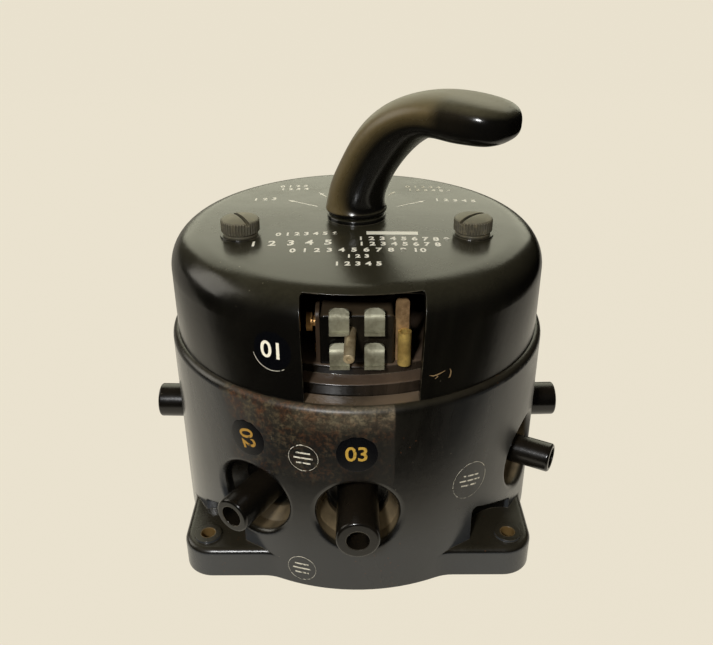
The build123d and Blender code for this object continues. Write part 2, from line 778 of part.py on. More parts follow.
def rotor_disc():
    low = blade_z - rotor_disc_t
    disc = rod(rotor_disc_r, low, blade_z)
    disc = disc + rod(rotor_boss_r, low - rotor_boss_len, low)
    disc = disc - rod(spindle_r + fit_gap, 0, through)
    disc = disc - cross_hole(rotor_pin_r, rotor_pin_z())
    return disc - rivet_holes()


def rivet_holes():
    return [Pos(*polar(az, rivet_at)) * rod(rivet_r + fit_gap, 0, through) for az in rivet_places()]


def rivet_places():
    return [grip_az + 90, grip_az - 90]


def selector_blade():
    blade = rod(blade_root_r, blade_z, blade_top_z)
    arm = upright(grip_az, 0) * slab(0, blade_reach, -blade_w / 2, blade_w / 2, blade_z, blade_top_z)
    blade = blade + arm
    blade = blade - rod(spindle_r + ring_gap, 0, through)
    return blade - rivet_holes()


def slip_ring():
    top = blade_top_z + ring_t
    ring = rod(ring_r, blade_top_z, top) - rod(spindle_r + ring_gap, 0, through)
    ring = ring - rivet_holes()
    for az in rivet_places():
        ring = ring - Pos(*polar(az, rivet_at)) * rod(rivet_head_r + fit_gap, top - rivet_head_t, top + 1)
    return ring


def rotor_rivets():
    top = blade_top_z + ring_t
    low = blade_z - rotor_disc_t
    one = rod(rivet_r, low - rivet_head_t, top) + rod(rivet_head_r, top - rivet_head_t, top)
    one = one + rod(rivet_head_r, low - rivet_head_t, low)
    return [Pos(*polar(az, rivet_at)) * one for az in rivet_places()]


def rotor_pins():
    return [cross_pin(rotor_pin_r, rotor_pin_z(), 2 * (rotor_boss_r - clear_gap)),
            cross_pin(rotor_pin_r, index_pin_z(), 2 * (index_hub_r - clear_gap))]


def index_plate():
    plate = rod(index_r, index_z, index_z + index_t)
    hub_low = deck_top_z + lower_bush_flange_t + clear_gap
    plate = plate + rod(index_hub_r, hub_low, index_z + index_t + index_hub_t)
    plate = plate + upright(0, 0) * slab(
        0, stop_lug_r, -stop_lug_half_w, stop_lug_half_w, index_z, index_z + index_t)
    plate = plate - rod(spindle_r + fit_gap, 0, through)
    plate = plate - cross_hole(rotor_pin_r, index_pin_z())
    for i in range(position_count):
        vee = Polyline((index_r - notch_depth, 0), (index_r + 1.5, -notch_half_w * 1.5),
                       (index_r + 1.5, notch_half_w * 1.5), close=True)
        notch = extrude(upright(detent_az + i * position_pitch, 0, index_z - 1) * make_face(vee), index_t + 2)
        plate = plate - notch
    return plate


def stop_pin_places():
    """Azimuths where the stop lug meets a pin at each end of the travel."""
    step = degrees(asin((stop_lug_half_w + stop_pin_r + stop_gap) / stop_pin_at))
    return [step, -travel - step]


def stop_pins():
    one = rod(stop_pin_r, deck_top_z - pin_spigot, stop_pin_top_z)
    one = chamfer(one.edges().group_by(Axis.Z)[-1], 0.4)
    return [Pos(*polar(az, stop_pin_at)) * one for az in stop_pin_places()]


def detent_spring():
    nose = index_r - notch_depth + detent_nose_gap + detent_t
    middle = detent_y + detent_t / 2
    line = Polyline((detent_left, middle), (-detent_flank, middle), (0, nose), (detent_flank, middle),
                    (detent_right, middle + detent_t))
    leaf = extrude(Plane.XY.offset(detent_low()) * trace(line, detent_t), detent_h)
    for x in detent_screw_x():
        place = Pos(x, detent_y - detent_t, detent_low() + detent_h / 2) * Rot(-90, 0, 0)
        leaf = leaf - place * rod(detent_screw_r + fit_gap, 0, 3 * detent_t)
    return leaf


def detent_low():
    return index_z + index_t / 2 - detent_h / 2


def detent_screw_x():
    middle = detent_left + post_w / 2
    return [middle - detent_screw_pitch / 2, middle + detent_screw_pitch / 2]


def detent_post():
    front = detent_y + detent_t
    post = slab(detent_left, detent_left + post_w, front, front + post_d, deck_top_z, deck_top_z + post_rise)
    post = chamfer(post.edges().group_by(Axis.Z)[-1], 0.5)
    for x in detent_screw_x():
        place = Pos(x, front, detent_low() + detent_h / 2) * Rot(-90, 0, 0)
        post = post - place * rod(detent_screw_r + fit_gap, -1, detent_screw_len)
    return post


def detent_screws():
    screws = []
    for x in detent_screw_x():
        one = rod(detent_screw_r, 0, detent_screw_len) + rod(detent_screw_head_r, -detent_screw_head_t, 0)
        one = one - slab(-3, 3, -0.2, 0.2, -detent_screw_head_t - 1, -detent_screw_head_t / 2)
        screws.append(Pos(x, detent_y, detent_low() + detent_h / 2) * Rot(-90, 0, 0) * one)
    return screws


def clip_azimuths():
    """One clip at each place where the blade can stop."""
    return [grip_az - i * position_pitch for i in range(position_count)]


def clip_screw_places():
    places = [(az, clip_screw_at) for az in clip_azimuths()]
    places.append((detent_az, wiper_screw_at))
    return places


def contact_clip(az):
    low = blade_z - clip_gap - clip_t
    high = blade_top_z + clip_gap
    half = clip_w / 2
    clip = slab(clip_web_r, clip_web_r + clip_t, -half, half, low, deck_plate_z)
    clip = clip + slab(clip_web_r - clip_jaw_len, clip_web_r, -half, half, low, low + clip_t)
    clip = clip + slab(clip_web_r - clip_jaw_len, clip_web_r, -half, half, high, high + clip_t)
    foot_z = deck_plate_z - clip_t
    clip = clip + slab(clip_web_r, clip_web_r + clip_foot_len, -half, half, foot_z, deck_plate_z)
    clip = clip - Pos(clip_screw_at, 0, 0) * rod(clip_screw_r + fit_gap, foot_z - 1, deck_plate_z + 1)
    return upright(az, 0) * clip


def clip_screws():
    return [clip_screw(az, at, wiper_t if at == wiper_screw_at else clip_t) for az, at in clip_screw_places()]


def clip_screw(az, at, under_t):
    """A cheese-head screw through a foot of the given thickness into the deck."""
    foot_z = deck_plate_z - under_t
    low = foot_z - clip_screw_head_t
    screw = rod(clip_screw_r, foot_z, deck_plate_z + clip_screw_len) + rod(clip_screw_head_r, low, foot_z)
    screw = screw - slab(-4, 4, -0.3, 0.3, low - 1, low + 0.6)
    return Pos(*polar(az, at)) * screw


def common_wiper():
    foot_z = deck_plate_z - wiper_t / 2
    tip_z = blade_top_z + ring_t + clear_gap + wiper_t / 2
    line = Polyline((wiper_tip - wiper_shoe, tip_z), (wiper_tip + wiper_shoe, tip_z),
                    (wiper_foot - wiper_shoe, foot_z), (wiper_foot + wiper_foot_len, foot_z))
    strip = extrude(sideways(detent_az) * trace(line, wiper_t), wiper_w / 2, both=True)
    place = Pos(*polar(detent_az, wiper_screw_at))
    return strip - place * rod(clip_screw_r + fit_gap, deck_plate_z - 3, deck_plate_z + 1)


def socket_tube(index):
    tube_r = socket_tube_r[index]
    tail = cup_floor - socket_tail_len
    tube = rod(tube_r, cup_floor, socket_end)
    tube = fillet(tube.edges().group_by(Axis.Z)[-1], socket_lip)
    tube = tube + rod(socket_tail_r, tail, cup_floor + 1)
    tube = tube - rod(socket_bore_r, socket_end - socket_bore_depth, socket_end + 1)
    tube = tube - rod(socket_core_r + fit_gap, tail - 1, socket_end)
    return outward(socket_az[index], 0, socket_z) * tube


def socket_contact(index):
    top = socket_end - socket_bore_depth
    tail = cup_floor - socket_tail_len - socket_core_tail
    core = rod(socket_core_r, tail, top)
    core = chamfer(core.edges().group_by(Axis.Z)[-1], 0.4)
    core = core - rod(socket_core_bore_r, top - socket_core_bore_depth, top + 1)
    return outward(socket_az[index], 0, socket_z) * core


def socket_nuts():
    high = cup_floor - cup_floor_t
    ring = extrude(Plane.XY.offset(high - socket_nut_t) * RegularPolygon(socket_nut_r, 6), socket_nut_t)
    ring = ring - rod(socket_tail_r + fit_gap, high - socket_nut_t - 1, high + 1)
    return [outward(az, 0, socket_z) * ring for az in socket_az]


def lead_targets():
    """Azimuth of the clip that each socket feeds; the front socket feeds the wiper."""
    clips = clip_azimuths()
    return {"left": clips[4], "left_front": clips[3], "right_front": clips[0], "right": clips[1]}


def lead(index):
    name = socket_names[index]
    az = socket_az[index]
    start_at = cup_floor - socket_tail_len - socket_core_tail / 2
    start_z = socket_z + socket_core_r
    if name == "front":
        end_at = wiper_foot + wiper_foot_len - 2.5
        end_z = deck_plate_z - wiper_t
        low_z = lead_cross_z - 2 * lead_r - 1.5
        points = [polar(az, start_at, start_z), polar(az, start_at, low_z),
                  polar(detent_az, end_at, low_z), polar(detent_az, end_at, end_z)]
    else:
        target = lead_targets()[name]
        end_z = deck_plate_z - clip_t
        points = [polar(az, start_at, start_z), polar(az, start_at, lead_cross_z),
                  polar(target, lead_at, lead_cross_z), polar(target, lead_at, end_z)]
    span = hypot(points[2][0] - points[1][0], points[2][1] - points[1][1])
    radius = min(lead_bend_r, span * 0.45)
    path = FilletPolyline(*points, radius=radius)
    section = Plane(origin=points[0], z_dir=(0, 0, 1)) * Circle(lead_r)
    return sweep(section, path)


def terminal_block():
    block = slab(block_left, block_right, -block_front, -block_back, deck_top_z, block_top_z)
    block = fillet(block.edges().filter_by(Axis.Y).group_by(Axis.Z)[-1], 2 * block_fillet)
    block = fillet(block.edges().group_by(Axis.Z)[-1].filter_by(Axis.X), block_fillet)
    block = block - test_pin_hole(fit_gap)
    for z in cheek_screw_z:
        block = block - side_rod(cheek_screw_r + fit_gap, block_left - 1, block_left + 4, cheek_screw_y, z)
    return block


def side_rod(radius, x0, x1, front, z):
    """A round bar along X."""
    return Pos(x0, -front, z) * Rot(0, 90, 0) * rod(radius, 0, x1 - x0)


def test_pin_axis():
    """Plane at the pin's front end with its Z along the pin, outwards."""
    ahead = (test_pin_x - test_pin_root_x, block_front - test_pin_end, test_pin_end_z - test_pin_root_z)
    return Plane(origin=(test_pin_x, -test_pin_end, test_pin_end_z), z_dir=ahead)


def test_pin_hole(gap):
    return test_pin_axis() * rod(test_pin_r + gap, -test_pin_reach - test_pin_grip - fit_gap, 0)


def test_pin():
    pin = rod(test_pin_r, -test_pin_reach - test_pin_grip, 0)
    pin = fillet(pin.edges().group_by(Axis.Z)[-1], 0.5)
    pin = pin - rod(test_pin_dimple_r, -test_pin_dimple, 1)
    return test_pin_axis() * pin


def leaf(x, low, high):
    """One contact leaf: a flat face, a crown that leans back, an outward lip and a stub on the block."""
    front = block_front + leaf_stand - leaf_t / 2
    line = FilletPolyline((-front, low), (-front, high - leaf_crown),
                          (-block_front - leaf_t, high - leaf_t / 2), radius=leaf_bend_r)
    strip = extrude(Plane.YZ * trace(line, leaf_t), leaf_w / 2, both=True)
    lip = slab(-leaf_w / 2, leaf_w / 2, -block_front - leaf_stand - leaf_lip, -front, low, low + leaf_t)
    mask = Pos(0, 0, high - leaf_crown_r) * Rot(90, 0, 0) * rod(leaf_crown_r, 0, base_r)
    mask = mask + slab(-leaf_w, leaf_w, -base_r, 0, low, high - leaf_crown_r)
    stub_z = min(high - leaf_crown, block_top_z) - leaf_stub_h - clear_gap
    stub = slab(-leaf_stub_w / 2, leaf_stub_w / 2, -front, -block_front, stub_z, stub_z + leaf_stub_h)
    return Pos(x, 0, 0) * ((strip + lip + stub) & mask) - test_pin_hole(clear_gap)


def contact_leaves():
    leaves = []
    for x in leaf_x:
        leaves.append(leaf(x, leaf_upper_z[0], leaf_upper_z[1]))
        leaves.append(leaf(x, leaf_lower_z[0], leaf_lower_z[1]))
    return leaves


def brass_strip():
    x0 = strip_x - strip_w / 2
    plate = slab(x0, strip_x + strip_w / 2, -strip_y - strip_t, -strip_y, deck_top_z, strip_top_z)
    foot = slab(x0, strip_x + strip_w / 2, -strip_y, -strip_y + strip_foot, deck_top_z, deck_top_z + strip_t)
    return fillet((plate + foot).edges().filter_by(Axis.Y).group_by(Axis.Z)[-1], strip_corner_r)


def brass_sleeve():
    low = deck_top_z
    tube = rod(sleeve_r, low, sleeve_top_z) - rod(sleeve_bore_r, low + sleeve_floor_t, through)
    return Pos(strip_x + sleeve_shift, -sleeve_y, 0) * tube


def cheek_plate():
    plate = slab(block_left - cheek_t, block_left, -cheek_front, -cheek_back, deck_top_z, cheek_top_z)
    plate = fillet(plate.edges().filter_by(Axis.X).group_by(Axis.Z)[-1], cheek_corner_r)
    left = block_left - cheek_t - 1
    right = block_left + 1
    for z in cheek_screw_z:
        plate = plate - side_rod(cheek_screw_r + fit_gap, left, right, cheek_screw_y, z)
    return plate - side_rod(terminal_screw_r + fit_gap, left, right, terminal_screw_y, terminal_screw_z)


def cheek_screws():
    face = block_left - cheek_t
    screws = []
    for z in cheek_screw_z:
        one = side_rod(cheek_screw_r, face, block_left + 3.8, cheek_screw_y, z)
        screws.append(one + side_rod(cheek_screw_head_r, face - cheek_screw_head_t, face, cheek_screw_y, z))
    return screws


def terminal_screw():
    face = block_left - cheek_t - terminal_screw_stand
    left = face - terminal_screw_head_t
    head = side_rod(terminal_screw_head_r, left, face, terminal_screw_y, terminal_screw_z)
    return head + side_rod(terminal_screw_r, face, block_left, terminal_screw_y, terminal_screw_z)


def save(name, shape):
    """Write one node's solids as one STEP file."""
    if isinstance(shape, list):
        shape = Compound(children=[piece.solid() for piece in shape])
    export_step(shape, "parts/" + name + ".step")


save("base_housing", base_housing())
save("bottom_plate", bottom_plate())
save("bottom_plate_screws", bottom_plate_screws())
save("contact_deck", contact_deck())
save("deck_screws", deck_screws())
save("cover", cover())
save("cover_pillars", cover_pillars())
save("thumbscrew_left", thumbscrew(0))
save("thumbscrew_right", thumbscrew(1))
save("screw_washer_left", screw_washer(0))
save("screw_washer_right", screw_washer(1))
save("handle", handle())
save("handle_pin", handle_pin())
save("handle_washer", handle_washer())
save("spindle", spindle())
save("upper_bush", upper_bush())
save("lower_bush", lower_bush())
save("spindle_circlip", spindle_circlip())
save("rotor_disc", rotor_disc())
save("rotor_pins", rotor_pins())
save("rotor_rivets", rotor_rivets())
save("selector_blade", selector_blade())
save("slip_ring", slip_ring())
save("index_plate", index_plate())
save("stop_pins", stop_pins())
save("detent_spring", detent_spring())
save("detent_post", detent_post())
save("detent_screws", detent_screws())
for i, az in enumerate(clip_azimuths()):
    save("contact_clip_" + str(i + 1), contact_clip(az))
save("clip_screws", clip_screws())
save("common_wiper", common_wiper())
for i, name in enumerate(socket_names):
    save("socket_tube_" + name, socket_tube(i))
    save("socket_contact_" + name, socket_contact(i))
    save("lead_" + name, lead(i))
save("socket_nuts", socket_nuts())
save("terminal_block", terminal_block())
save("contact_leaves", contact_leaves())
save("test_pin", test_pin())
save("brass_strip", brass_strip())
save("brass_sleeve", brass_sleeve())
save("cheek_plate", cheek_plate())
save("cheek_screws", cheek_screws())
save("terminal_screw", terminal_screw())
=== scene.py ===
"""Finishes, engraved marks, decals, the smooth handle and the studio of an aerial selector switch."""
import json
import math

import bmesh
import bpy
from mathutils import Matrix, Vector


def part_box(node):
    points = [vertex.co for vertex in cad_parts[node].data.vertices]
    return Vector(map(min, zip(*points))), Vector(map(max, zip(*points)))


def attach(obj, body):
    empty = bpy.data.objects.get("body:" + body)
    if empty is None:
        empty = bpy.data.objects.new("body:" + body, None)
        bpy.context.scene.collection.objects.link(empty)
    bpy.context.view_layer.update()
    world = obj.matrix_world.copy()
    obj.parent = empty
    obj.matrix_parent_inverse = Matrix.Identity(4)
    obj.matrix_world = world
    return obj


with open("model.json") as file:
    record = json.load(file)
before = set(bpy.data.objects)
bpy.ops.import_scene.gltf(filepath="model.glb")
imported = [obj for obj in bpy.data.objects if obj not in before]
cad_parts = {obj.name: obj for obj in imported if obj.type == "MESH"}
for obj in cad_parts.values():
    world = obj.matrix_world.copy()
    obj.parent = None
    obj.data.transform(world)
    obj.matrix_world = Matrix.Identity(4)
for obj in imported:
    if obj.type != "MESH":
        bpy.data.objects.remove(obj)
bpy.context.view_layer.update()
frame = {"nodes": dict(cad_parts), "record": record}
nodes = frame["nodes"]

MM = 0.001

# Camera, fitted to the photograph
IMAGE_W = 713
FOCAL_PX = 784.54
SENSOR_MM = 36.0
CAMERA_AT = Vector((-0.0003038, -0.305761, 0.237148))
LOOKS_AT = Vector((-0.0002, 0.0, 0.0786))
CAMERA_ROLL = math.radians(-0.22)

# Sizes of the pieces that the marks sit on. The cover's domed top has the height of its edge, its rise
# at the middle and its radius here.
COVER_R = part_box("cover")[1][0]
BASE_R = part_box("base_housing")[1][1]
DOME_EDGE_Z = 126.2 * MM
DOME_RISE = 1.7 * MM
DOME_R = COVER_R - 14.0 * MM


def polar(azimuth, out, z=0.0):
    """A point at an azimuth in degrees from the front, positive to the right."""
    a = math.radians(azimuth)
    return Vector((out * math.sin(a), -out * math.cos(a), z))


def new_mesh(name, verts, faces):
    mesh = bpy.data.meshes.new(name)
    mesh.from_pydata([tuple(v) for v in verts], [], faces)
    mesh.validate()
    mesh.shade_smooth()
    piece = bpy.data.objects.new(name, mesh)
    bpy.context.scene.collection.objects.link(piece)
    return piece


# Materials

PHENOLIC_IOR = 1.5


class Finish:
    """Builds the node tree of one material. Its lengths are in metres."""

    def __init__(self, name):
        self.material = bpy.data.materials.new(name)
        self.material.use_nodes = True
        self.tree = self.material.node_tree
        self.shader = self.tree.nodes["Principled BSDF"]
        coordinates = self.node("ShaderNodeTexCoord")
        self.place = coordinates.outputs["Object"]
        self.normal = coordinates.outputs["Normal"]

    def node(self, kind, **settings):
        made = self.tree.nodes.new(kind)
        for key, value in settings.items():
            setattr(made, key, value)
        return made

    def feed(self, socket, value):
        if isinstance(value, bpy.types.NodeSocket):
            self.tree.links.new(value, socket)
        else:
            socket.default_value = value

    def math(self, operation, a, b=0.0, clamp=False):
        made = self.node("ShaderNodeMath", operation=operation, use_clamp=clamp)
        self.feed(made.inputs[0], a)
        self.feed(made.inputs[1], b)
        return made.outputs[0]

    def times(self, a, b):
        return self.math("MULTIPLY", a, b)

    def plus(self, a, b):
        return self.math("ADD", a, b, clamp=True)

    def step(self, value, low, high):
        """0 below low, 1 above high, eased between; low may be the larger."""
        made = self.node("ShaderNodeMapRange", interpolation_type="SMOOTHSTEP")
        self.feed(made.inputs["Value"], value)
        if low < high:
            made.inputs["From Min"].default_value = low
            made.inputs["From Max"].default_value = high
            return made.outputs[0]
        made.inputs["From Min"].default_value = high
        made.inputs["From Max"].default_value = low
        return self.math("SUBTRACT", 1.0, made.outputs[0])

    def stretched(self, stretch):
        made = self.node("ShaderNodeMapping")
        self.feed(made.inputs["Vector"], self.place)
        made.inputs["Scale"].default_value = stretch
        return made.outputs[0]

    def noise(self, scale, detail=4.0, rough=0.55, stretch=None, distortion=0.0):
        made = self.node("ShaderNodeTexNoise")
        self.feed(made.inputs["Vector"], self.stretched(stretch) if stretch else self.place)
        made.inputs["Scale"].default_value = scale
        made.inputs["Detail"].default_value = detail
        made.inputs["Roughness"].default_value = rough
        made.inputs["Distortion"].default_value = distortion
        return made.outputs["Fac"]

    def spots(self, scale, size, seed=(1.0, 1.0, 1.0)):
        """Small round spots at scattered places, 1 inside and 0 outside."""
        made = self.node("ShaderNodeTexVoronoi")
        self.feed(made.inputs["Vector"], self.stretched(seed))
        made.inputs["Scale"].default_value = scale
        return self.step(made.outputs["Distance"], size, size * 0.6)

    def mix(self, amount, a, b):
        made = self.node("ShaderNodeMix", data_type="RGBA")
        self.feed(made.inputs[0], amount)
        self.feed(made.inputs[6], a)
        self.feed(made.inputs[7], b)
        return made.outputs[2]

    def blend(self, amount, a, b):
        made = self.node("ShaderNodeMix", data_type="FLOAT")
        self.feed(made.inputs[0], amount)
        self.feed(made.inputs[2], a)
        self.feed(made.inputs[3], b)
        return made.outputs[0]

    def axes(self):
        made = self.node("ShaderNodeSeparateXYZ")
        self.feed(made.inputs[0], self.place)
        return made.outputs[0], made.outputs[1], made.outputs[2]

    def up(self):
        made = self.node("ShaderNodeSeparateXYZ")
        self.feed(made.inputs[0], self.normal)
        return made.outputs[2]

    def facing(self, direction):
        """How far the surface faces a direction of the piece's own frame, from -1 to 1."""
        made = self.node("ShaderNodeVectorMath", operation="DOT_PRODUCT")
        self.feed(made.inputs[0], self.normal)
        made.inputs[1].default_value = Vector(direction).normalized()
        return made.outputs["Value"]

    def length(self, a, b):
        return self.math("SQRT", self.math("ADD", self.times(a, a), self.times(b, b)))

    def absolute(self, value):
        return self.math("ABSOLUTE", value)

    def rounded(self, radius):
        """The surface's normal with its sharp edges rounded over, and a mask of those edges."""
        made = self.node("ShaderNodeBevel", samples=6)
        made.inputs["Radius"].default_value = radius
        true = self.node("ShaderNodeNewGeometry").outputs["Normal"]
        same = self.node("ShaderNodeVectorMath", operation="DOT_PRODUCT")
        self.feed(same.inputs[0], made.outputs[0])
        self.feed(same.inputs[1], true)
        return made.outputs[0], self.step(same.outputs["Value"], 0.99, 0.90)

    def bump(self, height, distance, strength=1.0, under=None):
        made = self.node("ShaderNodeBump")
        made.inputs["Strength"].default_value = strength
        made.inputs["Distance"].default_value = distance
        self.feed(made.inputs["Height"], height)
        if under is not None:
            self.feed(made.inputs["Normal"], under)
        return made.outputs[0]

    def finish(self, colour, rough, normal=None, metallic=0.0, ior=PHENOLIC_IOR):
        self.feed(self.shader.inputs["Base Color"], colour)
        self.feed(self.shader.inputs["Roughness"], rough)
        self.shader.inputs["Metallic"].default_value = metallic
        self.shader.inputs["IOR"].default_value = ior
        if normal is not None:
            self.feed(self.shader.inputs["Normal"], normal)
        return self.material


def rgb(*shown):
    """A colour from red, green and blue as a screen shows them, 0 to 255."""
    linear = [((c / 255.0 + 0.055) / 1.055) ** 2.4 if c > 10 else c / 255.0 / 12.92 for c in shown]
    return (*linear, 1.0)


# Colours of the mouldings and of what lies on them
BLACK = rgb(13, 12, 10)
WARM_BLACK = rgb(20, 17, 12)
TOP_DUST = rgb(124, 118, 92)
BROWN_DUST = rgb(104, 88, 66)
OLIVE_DUST = rgb(98, 90, 70)
TAN_DUST = rgb(146, 128, 98)
RUST = rgb(96, 58, 32)
WORN_EDGE = rgb(112, 104, 86)
# grey of the base's lower wall, and painted reflection on its sides
GREY_AND_PAINTED_REFLECTION = rgb(69, 72, 76)
SPECK = rgb(150, 142, 120)
DECK_DUST = rgb(122, 102, 84)
LEDGE_DUST = rgb(140, 120, 98)
HOLE_TAN = rgb(118, 94, 56)
STAIN_RUST = rgb(112, 70, 38)
STAIN_TAN = rgb(112, 98, 72)
# painted highlight below the base's rim
PAINTED_RIM_HIGHLIGHT = rgb(168, 156, 130)
# painted light on the grip's upper and left side
PAINTED_LIGHT_OLIVE = rgb(102, 88, 56)
LAMINATE = rgb(58, 42, 28)
EDGE_R = 0.5 * MM


def phenolic(name, top_dust, wall_dust, gloss, body=BLACK, dust=TOP_DUST, ior=PHENOLIC_IOR):
    """Old moulded phenolic: glossy where rubbed, filmed with dust where it faces up."""
    f = Finish(name)
    mottle = f.noise(38.0, 6.0, 0.6)
    fine = f.noise(700.0, 3.0, 0.6)
    smudge = f.noise(22.0, 5.0, 0.65, stretch=(1.0, 1.0, 0.45), distortion=0.6)
    facing_up = f.step(f.up(), 0.35, 0.98)
    film = f.times(f.times(facing_up, top_dust), f.blend(f.step(mottle, 0.3, 0.7), 0.78, 1.0))
    film = f.times(film, f.blend(f.step(fine, 0.35, 0.65), 0.85, 1.0))
    haze = f.times(f.step(smudge, 0.42, 0.72), wall_dust)
    amount = f.plus(film, haze)
    return f, amount, {"body": body, "dust": dust, "gloss": gloss, "ior": ior, "mottle": mottle,
                       "smudge": smudge}


def close_phenolic(f, amount, facts, colour=None, haze=0.12, wear=0.5):
    """Ends a phenolic finish: colour, sheen, worn edges, orange peel and fine scratches."""
    base = colour if colour is not None else f.mix(amount, facts["body"], facts["dust"])
    specks = f.spots(420.0, 0.09)
    few = f.times(specks, f.step(f.noise(60.0, 2.0), 0.62, 0.65))
    base = f.mix(f.times(few, 0.6), base, SPECK)
    edge_normal, edge = f.rounded(EDGE_R)
    lightened = f.times(f.times(edge, wear), f.step(f.noise(160.0, 4.0, 0.65), 0.34, 0.66))
    base = f.mix(lightened, base, WORN_EDGE)
    gloss = facts["gloss"]
    rough = f.blend(f.step(facts["smudge"], 0.35, 0.7), gloss, gloss + haze)
    rough = f.blend(amount, rough, 0.62)
    peel = f.noise(320.0, 2.0, 0.5)
    scratches = f.noise(90.0, 6.0, 0.75, stretch=(9.0, 9.0, 1.2), distortion=1.5)
    normal = f.bump(peel, 0.00006, 0.5, under=edge_normal)
    normal = f.bump(scratches, 0.00003, 0.4, under=normal)
    return f.finish(base, rough, normal, ior=facts["ior"])


# Places on the base moulding, each as the two values between which a mask goes from 0 to 1:
# heights from the foot, azimuths from the front and distances from the spindle axis
GREY_FOOT_Z = (44.0 * MM, 14.0 * MM)
PAINTED_REFLECTION_SIDE = (math.radians(16.0), math.radians(42.0))
OUTER_SKIN = (BASE_R - 2.0 * MM, BASE_R - 1.0 * MM)
CUP_MOUTH = (BASE_R - 1.2 * MM, BASE_R - 3.0 * MM)
CUP_BACK = (63.0 * MM, 67.0 * MM)
CUP_FLOOR_Z = (16.0 * MM, 20.0 * MM)
CUP_TOP_Z = (60.0 * MM, 56.0 * MM)
CUP_TAN_Z = (46.0 * MM, 28.0 * MM)
POCKET_SIDE = (0.34, 0.42)     # |cos(2 azimuth)|, which is 0 at the flange's corners
LEDGE_Z = (70.0 * MM, 74.0 * MM)
LEDGE_OUTER = (COVER_R, COVER_R - 1.0 * MM)
PATCH_LEFT = (math.radians(-41.0), math.radians(-36.0))
PATCH_RIGHT = (math.radians(10.0), math.radians(9.4))
PATCH_FOOT_Z = (50.0 * MM, 56.0 * MM)
PATCH_FRONT_Y = (0.0, -10.0 * MM)
PATCH_SKIN = (BASE_R - 3.0 * MM, BASE_R - 1.5 * MM)
PATCH_RIM_Z = (66.0 * MM, 84.0 * MM)
PATCH_FADE = (math.radians(-14.0), math.radians(4.0))
RIM_HIGHLIGHT_Z = (73.0 * MM, 83.5 * MM)
RIM_HIGHLIGHT_SIDE = (math.radians(-24.0), math.radians(-2.0))
HOLE_AT = 61.0 * MM            # the fixing holes, from the axis along X and Y
HOLE_R = 2.8 * MM
HOLE_WALL = (HOLE_R + 0.5 * MM, HOLE_R + 0.05 * MM)


def grey_and_reflection_mask(f, mottle, azimuth, radius, z):
    """Grey on the outer wall, more towards the foot, and at the sides a painted reflection."""
    low = f.step(z, *GREY_FOOT_Z)
    side = f.step(f.absolute(azimuth), *PAINTED_REFLECTION_SIDE)
    upright = f.times(f.step(f.absolute(f.up()), 0.5, 0.2), f.step(radius, *OUTER_SKIN))
    grey_and_reflection = f.times(f.plus(f.times(low, 0.40), f.times(side, 0.30)), upright)
    return f.times(grey_and_reflection, f.blend(mottle, 0.75, 1.2))


def cup_mask(f, grime, azimuth, radius, z):
    """Tan dust in the cups behind the portholes, and none in the pockets over the flange."""
    between_pockets = f.step(f.absolute(f.math("COSINE", f.times(azimuth, 2.0))), *POCKET_SIDE)
    across = f.times(f.step(radius, *CUP_MOUTH), f.step(z, *CUP_FLOOR_Z))
    cup = f.times(across, f.times(f.step(z, *CUP_TOP_Z), f.step(radius, *CUP_BACK)))
    cup = f.times(f.times(cup, f.blend(grime, 0.35, 1.0)), between_pockets)
    # The cups are more tan towards the bottom and darker higher up.
    return f.times(cup, f.blend(f.step(z, *CUP_TAN_Z), 0.16, 0.85))


def patch_mask(f, azimuth, radius, y, z):
    """The stained patch at the front, with a ragged left side and a straight right one."""
    wobble = f.times(f.math("SUBTRACT", f.noise(70.0, 5.0, 0.65), 0.5), 0.10)
    left = f.step(f.math("ADD", azimuth, f.times(wobble, 2.0)), *PATCH_LEFT)
    right = f.step(f.math("ADD", azimuth, f.times(wobble, 0.1)), *PATCH_RIGHT)
    foot = f.step(f.math("ADD", z, f.times(wobble, 0.06)), *PATCH_FOOT_Z)
    patch = f.times(f.times(left, right), f.times(foot, f.step(y, *PATCH_FRONT_Y)))
    return f.times(patch, f.step(radius, *PATCH_SKIN))


def stained(f, base, patch, azimuth, z):
    """A colour with the patch's rust and tan stain over it, and a painted highlight below the rim."""
    near_rim = f.step(z, *PATCH_RIM_Z)
    grain = f.step(f.noise(620.0, 5.0, 0.75), 0.45, 0.62)
    blotch = f.step(f.noise(110.0, 5.0, 0.65), 0.40, 0.64)
    share = f.plus(f.blend(near_rim, 0.10, 0.36), f.times(blotch, 0.22))
    stain = f.times(patch, f.times(grain, share))
    stain = f.plus(stain, f.times(f.times(patch, near_rim), 0.14))
    stain = f.times(stain, f.blend(f.step(azimuth, *PATCH_FADE), 1.0, 0.5))
    base = f.mix(stain, base, f.mix(f.step(f.noise(240.0, 4.0), 0.4, 0.6), STAIN_RUST, STAIN_TAN))
    # Painted highlight: a pale band under the rim at the front, standing in for a lamp's reflection.
    painted_highlight = f.times(f.step(z, *RIM_HIGHLIGHT_Z), f.step(azimuth, *RIM_HIGHLIGHT_SIDE))
    painted_highlight = f.times(painted_highlight, f.blend(f.step(f.noise(130.0, 5.0, 0.7), 0.35, 0.65), 0.18, 0.6))
    return f.mix(f.times(f.times(painted_highlight, patch), f.blend(grain, 0.4, 0.8)), base, PAINTED_RIM_HIGHLIGHT)


